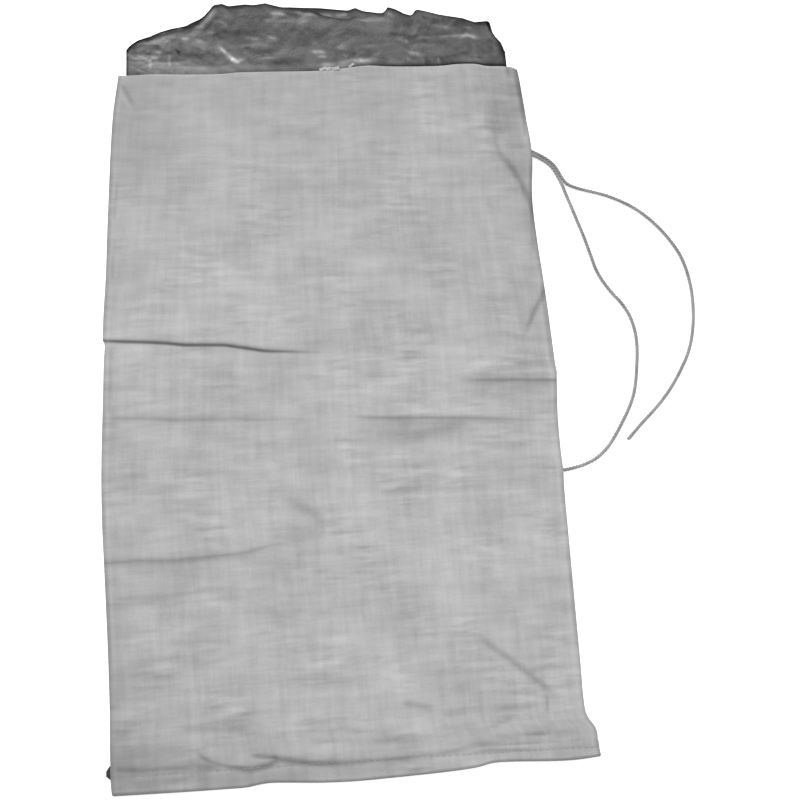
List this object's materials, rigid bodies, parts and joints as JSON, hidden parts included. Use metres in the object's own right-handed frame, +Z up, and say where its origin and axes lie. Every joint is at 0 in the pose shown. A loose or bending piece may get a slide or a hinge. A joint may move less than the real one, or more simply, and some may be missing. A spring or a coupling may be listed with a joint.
{
  "type": "sludge bag",
  "caption": "Empty woven sack lying flat, with a film liner standing out of its open mouth, a turned-up sewn bottom and a tie cord sewn to one side edge.",
  "frame": {"origin": "on the floor, under the middle of the laid sack and its liner, the tie cord left out", "axes": "+Y to the open mouth, +X to the side edge that carries the tie cord, +Z up from the floor through the laid sack"},
  "size_m": [0.8164, 1.0879, 0.0133],
  "materials": {
    "woven_cloth": "woven polypropylene tape, satin",
    "liner_film": "crumpled polyethylene film, glossy",
    "sewing_thread": "twisted polyester thread, matt",
    "tie_cord": "three-strand laid cord, matt"
  },
  "bodies": {
    "root": {"woven_sack": "woven_cloth", "liner": "liner_film", "bottom_needle_thread": "sewing_thread", "bottom_looper_thread": "sewing_thread", "tie_tack_thread": "sewing_thread", "tie_cord_long_tail": "tie_cord", "tie_cord_short_tail": "tie_cord"}
  },
  "joints": []
}
